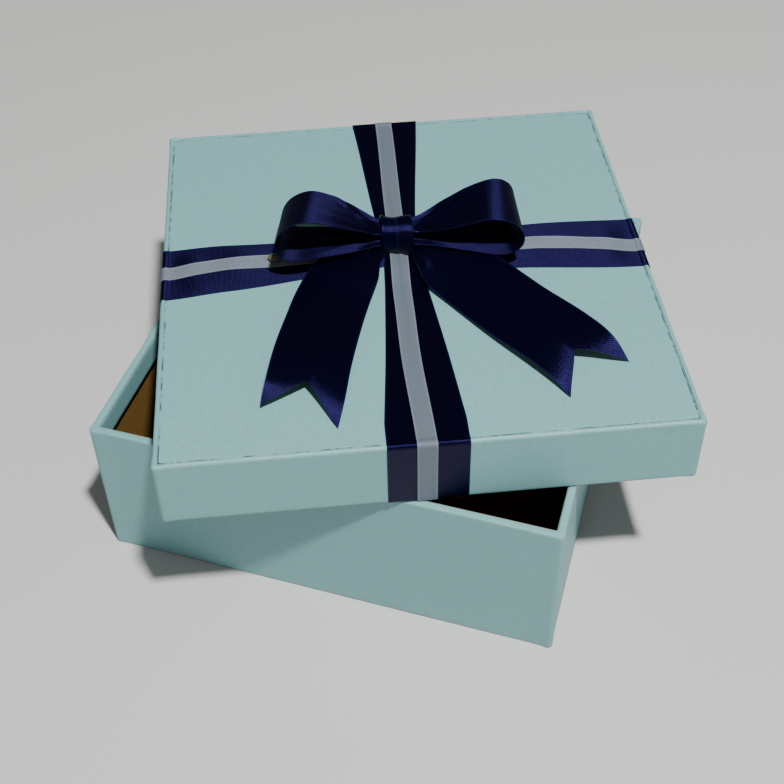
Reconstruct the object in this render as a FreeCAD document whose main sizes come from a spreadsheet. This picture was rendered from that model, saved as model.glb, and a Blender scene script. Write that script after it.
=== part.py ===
"""A square two-piece gift box: a paper-covered tray, a lid lying askew on its rim, ribbon bands and a bow.

The tray stands on the floor with its underside's centre at the origin, its front towards -Y and its sides
along X and Y. The lid lies on the tray's rim, turned about Z and a little off centre, with everything that is
glued to it.
All sizes are in millimetres and come from the spreadsheet "Sizes".
"""
import FreeCAD
import Part
import Sketcher

import math
import os

from FreeCAD import Placement, Rotation, Vector

# alias, value, what it is
DRIVING_SIZES = [
    ("base_side", 157.0, "outer side of the square tray"),
    ("base_height", 59.5, "height of the tray, floor to rim"),
    ("lid_side", 165.0, "outer side of the square lid"),
    ("lid_height", 25.0, "height of the lid, skirt edge to top"),
    ("lid_angle", 22.2, "how far the lid is turned on the rim, degrees"),
    ("lid_shift_x", 5.8, "lid centre from tray centre along X"),
    ("lid_shift_y", 1.1, "lid centre from tray centre along Y"),
    ("board", 2.0, "thickness of the brown board"),
    ("paper", 0.2, "thickness of the cover paper"),
    ("tape", 0.15, "thickness of the corner tape, and of the glue line under the paper"),
    ("tape_leg", 20.0, "width of each leg of a corner tape"),
    ("turn_in", 10.5, "how far the cover paper is turned in over the tray's rim and the skirt's edge"),
    ("slack", 0.1, "gap between loose layers of ribbon"),
    ("fold", 0.4, "outside radius of the paper where it folds over an edge"),
    ("wide", 25.0, "width of the dark ribbon"),
    ("narrow", 6.2, "width of the pale ribbon"),
    ("cloth", 0.3, "thickness of the dark ribbon"),
    ("trim", 0.2, "thickness of the pale ribbon"),
    ("hook", 10.0, "how far a ribbon end runs up inside the skirt"),
    ("pinched", 13.0, "width of a dark band where the knot draws it in"),
    ("rest_gap", 0.05, "air between the ribbon under the skirt and the rim"),
    ("side_ribbon_off", 2.5, "how far behind the lid's middle the side-to-side ribbons lie"),
    ("front_ribbon_off", -1.5, "how far right of the lid's middle the front-to-back ribbons lie"),
    ("knot_x", -2.0, "bow knot from lid centre, along the lid's own X"),
    ("knot_y", 5.0, "bow knot from lid centre, along the lid's own Y"),
    ("knot_wide", 12.4, "width of the knot"),
    ("knot_deep", 12.0, "depth of the knot"),
    ("knot_low", 1.4, "underside of the knot above the lid"),
    ("knot_high", 13.0, "top of the knot above the lid"),
    ("wrap", 0.8, "thickness of the knot's wrap"),
    ("gather_low", 6.6, "underside of the gathered loops above the lid"),
    ("gather_high", 10.6, "top of the gathered loops above the lid"),
    ("loops_neck", 8.0, "width of the loops where the knot gathers them"),
    ("loop_cloth", 0.6, "thickness of the stand-in for a loop or a tail"),
    ("left_loop_radius", 8.6, "outer radius of the left loop's bend"),
    ("left_loop_far", 43.0, "how far the left loop reaches from the knot's middle"),
    ("left_loop_rise", 15.0, "height of the left loop's bend above the lid"),
    ("left_loop_tilt", 15.0, "how far the left loop's front edge is raised, degrees"),
    ("right_loop_radius", 9.6, "outer radius of the right loop's bend"),
    ("right_loop_far", 44.5, "how far the right loop reaches from the knot's middle"),
    ("right_loop_rise", 14.2, "height of the right loop's bend above the lid"),
    ("right_loop_tilt", 10.0, "how far the right loop's front edge is raised, degrees"),
    ("tail_length", 58.0, "length of a tail, shoulder to tips"),
    ("notch", 11.5, "depth of the swallow-tail notch"),
    ("tail_neck", 8.0, "width of a tail at the knot"),
    ("left_tail_heading", -107.0, "way that the left tail runs, degrees from the lid's X"),
    ("left_tail_x", -19.0, "start of the left tail's full width, along X from the knot"),
    ("left_tail_y", -14.0, "start of the left tail's full width, along Y from the knot"),
    ("right_tail_heading", -58.5, "way that the right tail runs, degrees from the lid's X"),
    ("right_tail_x", 17.0, "start of the right tail's full width, along X from the knot"),
    ("right_tail_y", -12.0, "start of the right tail's full width, along Y from the knot"),
    ("dot_radius", 5.0, "radius of the glue dot under the knot"),
    ("glue_from_middle", 45.0, "glue spot left of the lid's middle"),
    ("glue_radius", 2.2, "radius of the glue spot"),
    ("glue_height", 0.9, "height of the glue spot"),
]

PARTS_FOLDER = "parts"

doc = FreeCAD.newDocument("gift_box")
sheet = doc.addObject("Spreadsheet::Sheet", "Sizes")
for row, (alias, number, meaning) in enumerate(DRIVING_SIZES, start=1):
    sheet.set(f"A{row}", meaning)
    sheet.set(f"B{row}", str(number))
    sheet.setAlias(f"B{row}", alias)
doc.recompute()

ALIASES = sorted((alias for alias, _, _ in DRIVING_SIZES), key=len, reverse=True)
pieces = []


def size(alias):
    """The number that a cell of the spreadsheet holds."""
    return float(sheet.get(alias))


def bound(words):
    """An expression in plain aliases, written with the sheet's name before each alias."""
    out = []
    word = ""
    for letter in words + " ":
        if letter.isalnum() or letter in "_.":
            word += letter
            continue
        out.append(f"Sizes.{word}" if word in ALIASES else word)
        out.append(letter)
        word = ""
    return "".join(out).strip()


def new_body(label, place):
    """An empty body, which is one piece of the object."""
    body = doc.addObject("PartDesign::Body", label)
    body.Label = label
    body.Placement = place
    pieces.append(body)
    return body


def new_sketch(body, name, role="XY_Plane", x="0", y="0", z="0"):
    """A sketch on one of the body's own planes, moved by x, y and z in that plane's axes."""
    sketch = body.newObject("Sketcher::SketchObject", f"{body.Label}_{name}")
    plane = next(f for f in body.Origin.OriginFeatures if f.Role == role)
    sketch.AttachmentSupport = [(plane, "")]
    sketch.MapMode = "FlatFace"
    for axis, words in (("x", x), ("y", y), ("z", z)):
        if words != "0":
            sketch.setExpression(f"AttachmentOffset.Base.{axis}", bound(words))
    return sketch


def rectangle(sketch, width, depth):
    """A rectangle about the sketch's origin, with its two sides bound to the sheet."""
    corners = [Vector(-1, -1, 0), Vector(1, -1, 0), Vector(1, 1, 0), Vector(-1, 1, 0)]
    first = sketch.GeometryCount
    for i, corner in enumerate(corners):
        sketch.addGeometry(Part.LineSegment(corner, corners[(i + 1) % 4]), False)
    for i in range(4):
        sketch.addConstraint(Sketcher.Constraint("Coincident", first + i, 2, first + (i + 1) % 4, 1))
    for i, kind in enumerate(("Horizontal", "Vertical", "Horizontal", "Vertical")):
        sketch.addConstraint(Sketcher.Constraint(kind, first + i))
    sketch.addConstraint(Sketcher.Constraint("Symmetric", first, 1, first + 1, 2, -1, 1))
    for kind, line, words in (("DistanceX", first, width), ("DistanceY", first + 1, depth)):
        number = sketch.addConstraint(Sketcher.Constraint(kind, line, 1, line, 2, 2.0))
        sketch.setExpression(f"Constraints[{number}]", bound(words))


def outline(sketch, points):
    """A closed outline of straight lines, each corner bound to the sheet by its x and y from the origin."""
    count = len(points)
    first = sketch.GeometryCount
    placed = [Vector(worked_out(x), worked_out(y), 0) for x, y in points]
    for i in range(count):
        sketch.addGeometry(Part.LineSegment(placed[i], placed[(i + 1) % count]), False)
    for i in range(count):
        sketch.addConstraint(Sketcher.Constraint("Coincident", first + i, 2, first + (i + 1) % count, 1))
    for i, (x, y) in enumerate(points):
        for kind, words in (("DistanceX", x), ("DistanceY", y)):
            number = sketch.addConstraint(Sketcher.Constraint(kind, -1, 1, first + i, 1, worked_out(words)))
            sketch.setExpression(f"Constraints[{number}]", bound(words))


def worked_out(words):
    """The number that an expression in plain aliases comes to now."""
    return float(sheet.evalExpression(bound(words)))


def pad(body, sketch, length, both_ways=False):
    feature = body.newObject("PartDesign::Pad", f"{sketch.Name}_pad")
    feature.Profile = sketch
    feature.Midplane = both_ways
    feature.setExpression("Length", bound(length))
    return feature


def pocket(body, sketch, depth):
    """Cuts down from the sketch, and checks that something was cut."""
    doc.recompute()
    before = body.Shape.Volume
    feature = body.newObject("PartDesign::Pocket", f"{sketch.Name}_pocket")
    feature.Profile = sketch
    feature.setExpression("Length", bound(depth))
    doc.recompute()
    if body.Shape.Volume > before - 1e-6:
        raise RuntimeError(f"{sketch.Name} cuts nothing")
    return feature


def round_edges(body, radius, wanted):
    """A fillet on the edges of the body that the test picks."""
    doc.recompute()
    last = body.Tip
    names = [f"Edge{i}" for i, edge in enumerate(last.Shape.Edges, start=1) if wanted(edge)]
    feature = body.newObject("PartDesign::Fillet", f"{body.Label}_fillet")
    feature.Base = (last, names)
    feature.setExpression("Radius", bound(radius))


def slab(label, width, depth, height, x="0", y="0", z="0", place=None):
    """A flat panel or sheet: a rectangle about (x, y), from z upwards."""
    body = new_body(label, place or Placement())
    sketch = new_sketch(body, "outline", x=x, y=y, z=z)
    rectangle(sketch, width, depth)
    pad(body, sketch, height)
    return body


def cut_square(body, name, side, top, depth):
    """A square hole about the middle, from the height top down by depth."""
    sketch = new_sketch(body, name, z=top)
    rectangle(sketch, side, side)
    pocket(body, sketch, depth)


# Where the lid lies. Everything on it is drawn about the lid's own centre, from the skirt's lower edge up.
skirt_low = "base_height + cloth + trim + rest_gap"
lid_place = Placement(
    Vector(size("lid_shift_x"), size("lid_shift_y"), worked_out(skirt_low)),
    Rotation(Vector(0, 0, 1), size("lid_angle")),
)
SIDES = {"front": 0, "right": 90, "back": 180, "left": 270}
CORNERS = {"back_right": 0, "back_left": 90, "front_left": 180, "front_right": 270}


def turned(place, degrees):
    """The same place, with the piece turned about its own Z."""
    return place * Placement(Vector(), Rotation(Vector(0, 0, 1), degrees))


# Tray: brown board panels glued edge to edge, taped at the corners, and covered with one sheet of paper that
# is turned in a little way over the rim. Below it the inside is bare board.
skin = "paper + tape"
base_out = f"base_side - 2*({skin})"
slab("base_floor_board", base_out, base_out, "board", z="paper")
for side, degrees in SIDES.items():
    long_side = side in ("front", "back")
    slab(
        f"base_wall_{side}",
        base_out if long_side else f"{base_out} - 2*board",
        "board",
        "base_height - 2*paper - board",
        y=f"-({base_out} - board)/2",
        z="paper + board",
        place=turned(Placement(), degrees),
    )


def corner_tapes(stem, outer, low, height, place):
    """Four strips of tape, each bent round one corner of the board."""
    for corner, degrees in CORNERS.items():
        body = new_body(f"{stem}_{corner}", turned(place, degrees))
        sketch = new_sketch(body, "outline", z=low)
        far = f"({outer})/2"
        near = f"({outer})/2 - tape"
        start = f"({outer})/2 - tape_leg"
        outline(sketch, [(start, near), (near, near), (near, start), (far, start), (far, far), (start, far)])
        pad(body, sketch, height)


tray_tape_length = "base_height - 2*paper - board"
corner_tapes("base_corner_tape", "base_side - 2*paper", "paper + board", tray_tape_length, Placement())

base_wrap = new_body("base_wrap", Placement())
base_block = new_sketch(base_wrap, "block")
rectangle(base_block, "base_side", "base_side")
pad(base_wrap, base_block, "base_height")
inside = f"{base_out} - 2*board - 2*paper"
cut_square(base_wrap, "inside", inside, "base_height", "base_height - paper")
cut_square(base_wrap, "floor_space", "base_side - 2*paper", "paper + board", "board")
wall_space = new_sketch(base_wrap, "wall_space", z="base_height - paper")
rectangle(wall_space, "base_side - 2*paper", "base_side - 2*paper")
rectangle(wall_space, f"{base_out} - 2*board", f"{base_out} - 2*board")
pocket(base_wrap, wall_space, "base_height - 2*paper - board")
bare = "base_height - turn_in"
cut_square(base_wrap, "bare_wall", f"{base_out} - 2*board", bare, f"{bare} - paper - board")


def outer_edge(side, low, high):
    """A test for the upright corner edges of a wrap and the edges round its top."""
    half = side / 2

    def test(edge):
        middle = edge.BoundBox.Center
        upright = abs(abs(middle.x) - half) < 0.01 and abs(abs(middle.y) - half) < 0.01
        at_top = abs(middle.z - high) < 0.01 and edge.BoundBox.ZLength < 0.01
        on_side = abs(abs(middle.x) - half) < 0.01 or abs(abs(middle.y) - half) < 0.01
        return (upright and edge.BoundBox.ZLength > high - low - 1) or (at_top and on_side)

    return test


round_edges(base_wrap, "fold", outer_edge(size("base_side"), 0, size("base_height")))

# Lid: a top panel and four skirt panels, taped and covered like the tray.
lid_out = f"lid_side - 2*({skin})"
lid_inside = f"{lid_out} - 2*board - 2*paper"
top_under = "lid_height - paper - board"
slab("lid_top_board", lid_out, lid_out, "board", z=top_under, place=lid_place)
for side, degrees in SIDES.items():
    long_side = side in ("front", "back")
    slab(
        f"lid_skirt_{side}",
        lid_out if long_side else f"{lid_out} - 2*board",
        "board",
        f"{top_under} - paper",
        y=f"-({lid_out} - board)/2",
        z="paper",
        place=turned(lid_place, degrees),
    )
corner_tapes("lid_corner_tape", "lid_side - 2*paper", "paper", "lid_height - 2*paper", lid_place)

lid_wrap = new_body("lid_wrap", lid_place)
lid_block = new_sketch(lid_wrap, "block")
rectangle(lid_block, "lid_side", "lid_side")
pad(lid_wrap, lid_block, "lid_height")
cut_square(lid_wrap, "inside", lid_inside, top_under, top_under)
cut_square(lid_wrap, "top_space", "lid_side - 2*paper", "lid_height - paper", "board")
skirt_space = new_sketch(lid_wrap, "skirt_space", z=top_under)
rectangle(skirt_space, "lid_side - 2*paper", "lid_side - 2*paper")
rectangle(skirt_space, f"{lid_out} - 2*board", f"{lid_out} - 2*board")
pocket(lid_wrap, skirt_space, f"{top_under} - paper")
cut_square(lid_wrap, "bare_skirt", f"{lid_out} - 2*board", top_under, f"{top_under} - turn_in")
round_edges(lid_wrap, "fold", outer_edge(size("lid_side"), 0, size("lid_height")))

side_ribbons = lid_place * Placement(Vector(0, size("side_ribbon_off"), 0), Rotation())
front_ribbons = turned(lid_place * Placement(Vector(size("front_ribbon_off"), 0, 0), Rotation()), 90)


# Ribbons: each band runs over the top, down the skirt, round its edge and up the inside, where it is glued.
def band(label, place, width, thickness, under, crown, pinched=None):
    """One ribbon. under is what lies between it and the paper, and crown is its height at the crossing."""
    out = f"lid_side/2 + {under}"
    out_far = f"{out} + {thickness}"
    edge_in = f"({lid_inside})/2 - ({under})"
    edge_in_far = f"{edge_in} - {thickness}"
    low = f"0 - ({under})"
    low_far = f"{low} - {thickness}"
    top = f"lid_height + {under}"
    middle = f"lid_height + {crown}"
    flat = "wide/2 + 1"
    right = [
        (flat, middle),
        (out, top),
        (out, low),
        (edge_in, low),
        (edge_in, "hook"),
        (edge_in_far, "hook"),
        (edge_in_far, low_far),
        (out_far, low_far),
        (out_far, f"{top} + {thickness}"),
        (flat, f"{middle} + {thickness}"),
    ]
    left = [(f"0 - ({x})", z) for x, z in reversed(right)]
    body = new_body(label, place)
    sketch = new_sketch(body, "profile", role="XZ_Plane")
    outline(sketch, left[5:] + right[:5] + right[5:] + left[:5])
    pad(body, sketch, width, both_ways=True)
    if pinched:
        draw_in = new_sketch(body, "draw_in", z=f"{middle} + 1")
        reach = "lid_side/2 - 4"
        hold = "knot_wide/2"
        for sign in ("", "0 - "):
            outline(
                draw_in,
                [
                    (f"0 - ({reach})", f"{sign}{width}/2"),
                    (f"0 - ({hold})", f"{sign}{pinched}/2"),
                    (hold, f"{sign}{pinched}/2"),
                    (reach, f"{sign}{width}/2"),
                    (reach, f"{sign}({width}/2 + 1)"),
                    (f"0 - ({reach})", f"{sign}({width}/2 + 1)"),
                ],
            )
        pocket(body, draw_in, f"{crown} + 2")


band("ribbon_side_to_side", side_ribbons, "wide", "cloth", "0", "0", pinched="pinched")
band("stripe_side_to_side", side_ribbons, "narrow", "trim", "cloth", "cloth")
band("ribbon_front_to_back", front_ribbons, "wide", "cloth", "0", "cloth + trim", pinched="pinched")
band("stripe_front_to_back", front_ribbons, "narrow", "trim", "cloth", "2*cloth + trim")

# Bow: a strip looped to both sides, a strip for the two ends, and a short strip round both as the knot.
lid_top = lid_place * Placement(Vector(0, 0, size("lid_height")), Rotation())
bow_place = lid_top * Placement(Vector(size("knot_x"), size("knot_y"), 0), Rotation())

knot = slab("bow_knot", "knot_wide", "knot_deep", "knot_high - knot_low", z="knot_low", place=bow_place)
round_edges(knot, "2*wrap", lambda edge: edge.BoundBox.XLength > size("knot_wide") - 0.1)
tunnel = new_sketch(knot, "tunnel", role="YZ_Plane", y="(knot_high + knot_low)/2", z="knot_wide/2")
rectangle(tunnel, "knot_deep - 2*wrap", "knot_high - knot_low - 2*wrap")
pocket(knot, tunnel, "knot_wide")


def tangent_point(start, centre, radius, side):
    """Where the line from start touches a circle: side is +1 for its upper touch and -1 for its lower one."""
    away = centre - start
    run = math.sqrt(away.Length ** 2 - radius ** 2)
    heading = math.atan2(away.y, away.x) + side * math.asin(radius / away.Length)
    return start + Vector(math.cos(heading), math.sin(heading), 0) * run


def half_loop(side):
    """A strip that leaves the knot, goes round an arc at its far end and comes back below, front edge raised.

    It is drawn to +X as straight runs tangent to the arc, and the left one is then mirrored.
    """
    radius = size(f"{side}_loop_radius")
    far = size(f"{side}_loop_far")
    rise = size(f"{side}_loop_rise")
    tilt = size(f"{side}_loop_tilt")
    start = size("knot_wide") / 2 - 1
    cloth = size("loop_cloth")
    width = size("wide")
    neck = size("loops_neck")
    centre = Vector(far - radius, rise, 0)
    upper = Vector(start, size("gather_high"), 0)
    lower = Vector(start, size("gather_low"), 0)
    outer, inner = [], []
    for inset, points in ((0, outer), (cloth, inner)):
        radius_here = radius - inset
        leave = upper - Vector(0, inset, 0)
        back = lower + Vector(0, inset, 0)
        tip = centre + Vector(radius_here, 0, 0)
        points += [leave, tangent_point(leave, centre, radius_here, 1), tip]
        points += [tangent_point(back, centre, radius_here, -1), back]
    edges = []
    for leave, touch_up, tip, touch_down, back in (outer, inner):
        edges += [Part.makeLine(leave, touch_up), Part.Arc(touch_up, tip, touch_down).toShape()]
        edges += [Part.makeLine(touch_down, back)]
    edges += [Part.makeLine(outer[0], inner[0]), Part.makeLine(outer[4], inner[4])]
    strip = Part.Face(Part.Wire(Part.sortEdges(edges)[0])).extrude(Vector(0, 0, width))
    strip.translate(Vector(0, 0, -width / 2))
    for edge_side in (1, -1):
        beyond = edge_side * (width / 2 + 1)
        corner_points = [(start - 1, edge_side * neck / 2), (start + width, beyond), (start - 1, beyond)]
        corners = [Vector(x, 0, z) for x, z in corner_points + corner_points[:1]]
        strip = strip.cut(Part.Face(Part.makePolygon(corners)).extrude(Vector(0, far, 0)))
    strip.rotate(Vector(), Vector(1, 0, 0), 90)
    if side == "left":
        strip = strip.mirror(Vector(), Vector(1, 0, 0))
    strip.rotate(Vector(0, 0, (upper.y + lower.y) / 2), Vector(1, 0, 0), -tilt)
    return strip


half_gather = size("knot_wide") / 2
gather_deep = size("loops_neck")
gather = Part.makeBox(
    2 * half_gather,
    gather_deep,
    size("gather_high") - size("gather_low"),
    Vector(-half_gather, -gather_deep / 2, size("gather_low")),
)
bow_loops = doc.addObject("Part::Feature", "bow_loops")
bow_loops.Label = "bow_loops"
bow_loops.Shape = gather.fuse([half_loop("left"), half_loop("right")])
bow_loops.Placement = bow_place
pieces.append(bow_loops)

bow_tails = new_body("bow_tails", bow_place)
tails_outline = new_sketch(bow_tails, "outline", z="knot_low + wrap + 2*slack")


def tail_corners(side):
    """The corners of one tail, from its shoulder nearest +X round its notch to its other shoulder."""
    heading, base_x, base_y = f"{side}_tail_heading", f"{side}_tail_x", f"{side}_tail_y"
    along = "tail_length", "tail_length - notch", "tail_length"
    across = "wide/2", "0", "-1*wide/2"
    corners = [("0", "wide/2"), *zip(along, across), ("0", "-1*wide/2")]
    c, s = f"cos({heading})", f"sin({heading})"
    return [(f"{base_x} + ({u})*{c} - ({v})*{s}", f"{base_y} + ({u})*{s} + ({v})*{c}") for u, v in corners]


outline(
    tails_outline,
    [
        ("knot_wide/2 + 1", "tail_neck/2"),
        *tail_corners("right"),
        ("knot_wide/2 + 1", "-1*tail_neck/2"),
        ("-1*knot_wide/2 - 1", "-1*tail_neck/2"),
        *tail_corners("left"),
        ("-1*knot_wide/2 - 1", "tail_neck/2"),
    ],
)
pad(bow_tails, tails_outline, "loop_cloth")

# Hot glue: a round dot that holds the knot on the crossing of the ribbons, and a spot beside the left loop.
glue_dot = doc.addObject("Part::Cylinder", "glue_dot")
glue_dot.Label = "glue_dot"
glue_dot.setExpression("Radius", bound("dot_radius"))
glue_dot.setExpression("Height", bound("knot_low - 2*cloth - 2*trim - slack"))
crossing_top = worked_out("2*cloth + 2*trim + slack/2")
glue_dot.Placement = bow_place * Placement(Vector(0, 0, crossing_top), Rotation())
pieces.append(glue_dot)

glue = doc.addObject("Part::Sphere", "glue_spot")
glue.Label = "glue_spot"
cap_radius = "(glue_radius^2 + glue_height^2)/(2*glue_height)"
glue.setExpression("Radius", bound(cap_radius))
glue.setExpression("Angle1", bound(f"asin(1 - glue_height/({cap_radius}))"))
doc.recompute()
glue_depth = glue.Radius.Value - size("glue_height")
ribbon_top = size("cloth") + size("trim")
glue_middle = Vector(-size("glue_from_middle"), size("knot_y"), ribbon_top - glue_depth)
glue.Placement = lid_top * Placement(glue_middle, Rotation())
pieces.append(glue)

doc.recompute()
broken = [o.Label for o in doc.Objects if {"Invalid", "Error"} & set(o.State)]
broken += [p.Label for p in pieces if p.Shape.isNull() or not p.Shape.isValid() or not p.Shape.Solids]
if broken:
    raise RuntimeError(f"these did not build: {broken}")

os.makedirs(PARTS_FOLDER, exist_ok=True)
for piece in pieces:
    piece.Shape.exportStep(os.path.join(PARTS_FOLDER, f"{piece.Label}.step"))
    box = piece.Shape.BoundBox
    print(f"{piece.Label:28s} {piece.Shape.Volume:10.1f} mm3   z {box.ZMin:7.2f} to {box.ZMax:7.2f}")
print(len(pieces), "pieces")
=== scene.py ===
"""A square gift box: a paper-covered tray, its lid lying askew on the rim, crossed ribbons and a bow."""

import math

import bmesh
import bpy
from mathutils import Matrix, Vector, noise


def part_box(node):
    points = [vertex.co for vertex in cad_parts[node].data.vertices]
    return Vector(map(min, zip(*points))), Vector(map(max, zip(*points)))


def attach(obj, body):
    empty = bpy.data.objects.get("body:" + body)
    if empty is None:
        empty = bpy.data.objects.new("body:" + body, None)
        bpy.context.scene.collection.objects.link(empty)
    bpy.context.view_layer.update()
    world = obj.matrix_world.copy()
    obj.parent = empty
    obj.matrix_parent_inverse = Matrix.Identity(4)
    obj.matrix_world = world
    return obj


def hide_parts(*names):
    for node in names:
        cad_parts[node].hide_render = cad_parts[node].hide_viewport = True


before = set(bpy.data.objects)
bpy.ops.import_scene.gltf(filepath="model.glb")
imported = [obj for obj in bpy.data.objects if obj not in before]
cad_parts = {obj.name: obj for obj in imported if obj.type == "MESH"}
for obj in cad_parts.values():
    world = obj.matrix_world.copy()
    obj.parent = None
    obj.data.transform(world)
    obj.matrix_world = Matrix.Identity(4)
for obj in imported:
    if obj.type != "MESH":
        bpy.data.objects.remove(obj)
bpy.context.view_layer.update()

# ----------------------------------------------------------------------------------------------------------
# Brown board. The tray and the lid are each built from 2 mm kraft board, cut to size and glued edge to
# edge. It stays bare inside, below the turned-in edge of the cover.

MM = 0.001


def add(tree, kind, sockets=None, **settings):
    """A new node of that kind. Each named socket takes a value, or the output that feeds it."""
    made = tree.nodes.new(kind)
    for name, value in settings.items():
        setattr(made, name, value)
    for name, value in (sockets or {}).items():
        if isinstance(value, bpy.types.NodeSocket):
            tree.links.new(value, made.inputs[name])
        else:
            made.inputs[name].default_value = value
    return made


def new_group(name, inputs, outputs):
    """An empty node group with those sockets, its two end nodes, and its tree."""
    group = bpy.data.node_groups.new(name, "ShaderNodeTree")
    for title, kind, value in inputs:
        socket = group.interface.new_socket(title, in_out="INPUT", socket_type=kind)
        if value is not None:
            socket.default_value = value
    for title, kind in outputs:
        group.interface.new_socket(title, in_out="OUTPUT", socket_type=kind)
    return group, group.nodes.new("NodeGroupInput"), group.nodes.new("NodeGroupOutput")


def maths(tree, operation, first, second=None):
    """What a Math node makes of one or two values."""
    values = {0: first} if second is None else {0: first, 1: second}
    return add(tree, "ShaderNodeMath", values, operation=operation).outputs[0]


def ranged(tree, value, low, high, to_low=0.0, to_high=1.0, **settings):
    """The value carried over from one range to another, and held at its ends."""
    sockets = {"Value": value, "From Min": low, "From Max": high, "To Min": to_low, "To Max": to_high}
    return add(tree, "ShaderNodeMapRange", sockets, **settings).outputs["Result"]


def blended(tree, share, first, second):
    """The first colour, with that share of the second one in it."""
    return add(tree, "ShaderNodeMix", {"Factor": share, 6: first, 7: second}, data_type="RGBA").outputs[2]


def noisy(tree, place, scale, detail=2.0, roughness=0.5):
    """A noise texture with about that many features to one unit of place."""
    sockets = {"Vector": place, "Scale": scale, "Detail": detail, "Roughness": roughness}
    return add(tree, "ShaderNodeTexNoise", sockets)


def build_pulp_group():
    """Paper pulp: cloudy tone, short fibres and a fine tooth, sized in millimetres."""
    group, given, out = new_group(
        "pulp",
        [
            ("Light", "NodeSocketColor", None),
            ("Dark", "NodeSocketColor", None),
            ("Fleck", "NodeSocketColor", None),
            ("Fleck Amount", "NodeSocketFloat", 0.1),
            ("Cloud Size mm", "NodeSocketFloat", 6.0),
        ],
        [
            ("Color", "NodeSocketColor"),
            ("Height", "NodeSocketFloat"),
            ("Roughness Mask", "NodeSocketFloat"),
        ],
    )
    place = add(group, "ShaderNodeTexCoord").outputs["Object"]
    in_mm = add(group, "ShaderNodeVectorMath", {0: place, "Scale": 1000.0}, operation="SCALE").outputs[0]
    per_mm = maths(group, "DIVIDE", 1.0, given.outputs["Cloud Size mm"])
    cloud = noisy(group, in_mm, per_mm, 5.0, 0.62).outputs["Fac"]
    tooth = noisy(group, in_mm, 1.9, 4.0, 0.7).outputs["Fac"]
    bend = noisy(group, in_mm, 0.5).outputs["Color"]
    swayed = add(group, "ShaderNodeVectorMath", {0: in_mm, 1: bend}, operation="ADD").outputs[0]
    cells = {"Vector": swayed, "Scale": 0.9, "Randomness": 1.0}
    from_fibre = add(group, "ShaderNodeTexVoronoi", cells, feature="DISTANCE_TO_EDGE").outputs["Distance"]
    fibre = ranged(group, from_fibre, 0.0, 0.06, 1.0, 0.0)
    broken = ranged(group, tooth, 0.5, 0.62)
    fibres = maths(group, "MULTIPLY", fibre, broken)
    share = maths(group, "MULTIPLY", fibres, given.outputs["Fleck Amount"])
    spread = ranged(group, cloud, 0.3, 0.7)
    tone = blended(group, spread, given.outputs["Dark"], given.outputs["Light"])
    height = maths(group, "ADD", tooth, maths(group, "MULTIPLY", fibres, 0.25))
    group.links.new(blended(group, share, tone, given.outputs["Fleck"]), out.inputs["Color"])
    group.links.new(height, out.inputs["Height"])
    group.links.new(spread, out.inputs["Roughness Mask"])
    return group


pulp = build_pulp_group()


def new_material(name):
    """A new material and its node tree."""
    material = bpy.data.materials.new(name)
    material.use_nodes = True
    return material, material.node_tree


def dress(tree, pattern, roughness, bump_strength, depth_mm):
    """Feeds the material's shader with a pattern's colour and height and with a roughness."""
    shader = tree.nodes["Principled BSDF"]
    relief = {"Height": pattern.outputs["Height"], "Strength": bump_strength, "Distance": depth_mm * MM}
    tree.links.new(pattern.outputs["Color"], shader.inputs["Base Color"])
    tree.links.new(roughness, shader.inputs["Roughness"])
    tree.links.new(add(tree, "ShaderNodeBump", relief).outputs["Normal"], shader.inputs["Normal"])
    return shader


def paper_finish(name, light, dark, fleck, fleck_amount, cloud_mm, rough, tooth_mm, specular=0.35):
    """A material of the pulp group. rough is (least, most), and tooth_mm is how deep its surface is."""
    material, tree = new_material(name)
    stock = {
        "Light": (*light, 1),
        "Dark": (*dark, 1),
        "Fleck": (*fleck, 1),
        "Fleck Amount": fleck_amount,
        "Cloud Size mm": cloud_mm,
    }
    pattern = add(tree, "ShaderNodeGroup", stock, node_tree=pulp)
    roughness = ranged(tree, pattern.outputs["Roughness Mask"], 0.0, 1.0, rough[1], rough[0])
    shader = dress(tree, pattern, roughness, bump_strength=0.6, depth_mm=tooth_mm)
    shader.inputs["Specular IOR Level"].default_value = specular
    return material


brown_board = paper_finish(
    "brown_board",
    light=(0.185, 0.100, 0.022),
    dark=(0.140, 0.074, 0.015),
    fleck=(0.07, 0.035, 0.01),
    fleck_amount=0.55,
    cloud_mm=2.4,
    rough=(0.6, 0.8),
    tooth_mm=0.08,
)


def finish_nodes(material, names):
    """Gives CAD nodes that are shown as they are a material."""
    for name in names:
        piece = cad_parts[name]
        piece.data.materials.clear()
        piece.data.materials.append(material)


SIDES = ("front", "right", "back", "left")
for panel in ("base_wall", "lid_skirt"):
    finish_nodes(brown_board, [f"{panel}_{side}" for side in SIDES])
finish_nodes(brown_board, ["base_floor_board", "lid_top_board"])

# ----------------------------------------------------------------------------------------------------------
# Corner tapes. A strip of gummed brown paper is bent round each outside corner of the board to hold it
# square before the cover goes on.

gummed_paper = paper_finish(
    "gummed_paper",
    light=(0.46, 0.33, 0.20),
    dark=(0.36, 0.25, 0.15),
    fleck=(0.20, 0.13, 0.07),
    fleck_amount=0.4,
    cloud_mm=2.0,
    rough=(0.45, 0.6),
    tooth_mm=0.04,
)
CORNERS = ("front_left", "front_right", "back_left", "back_right")
for tape in ("base_corner_tape", "lid_corner_tape"):
    finish_nodes(gummed_paper, [f"{tape}_{corner}" for corner in CORNERS])

# ----------------------------------------------------------------------------------------------------------
# Tray cover. One sheet of pale aqua paper covers the underside and the walls, is folded over the rim and
# is glued 10.5 mm down inside. It bulges a little at the corners, where folds lie on folds.

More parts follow.
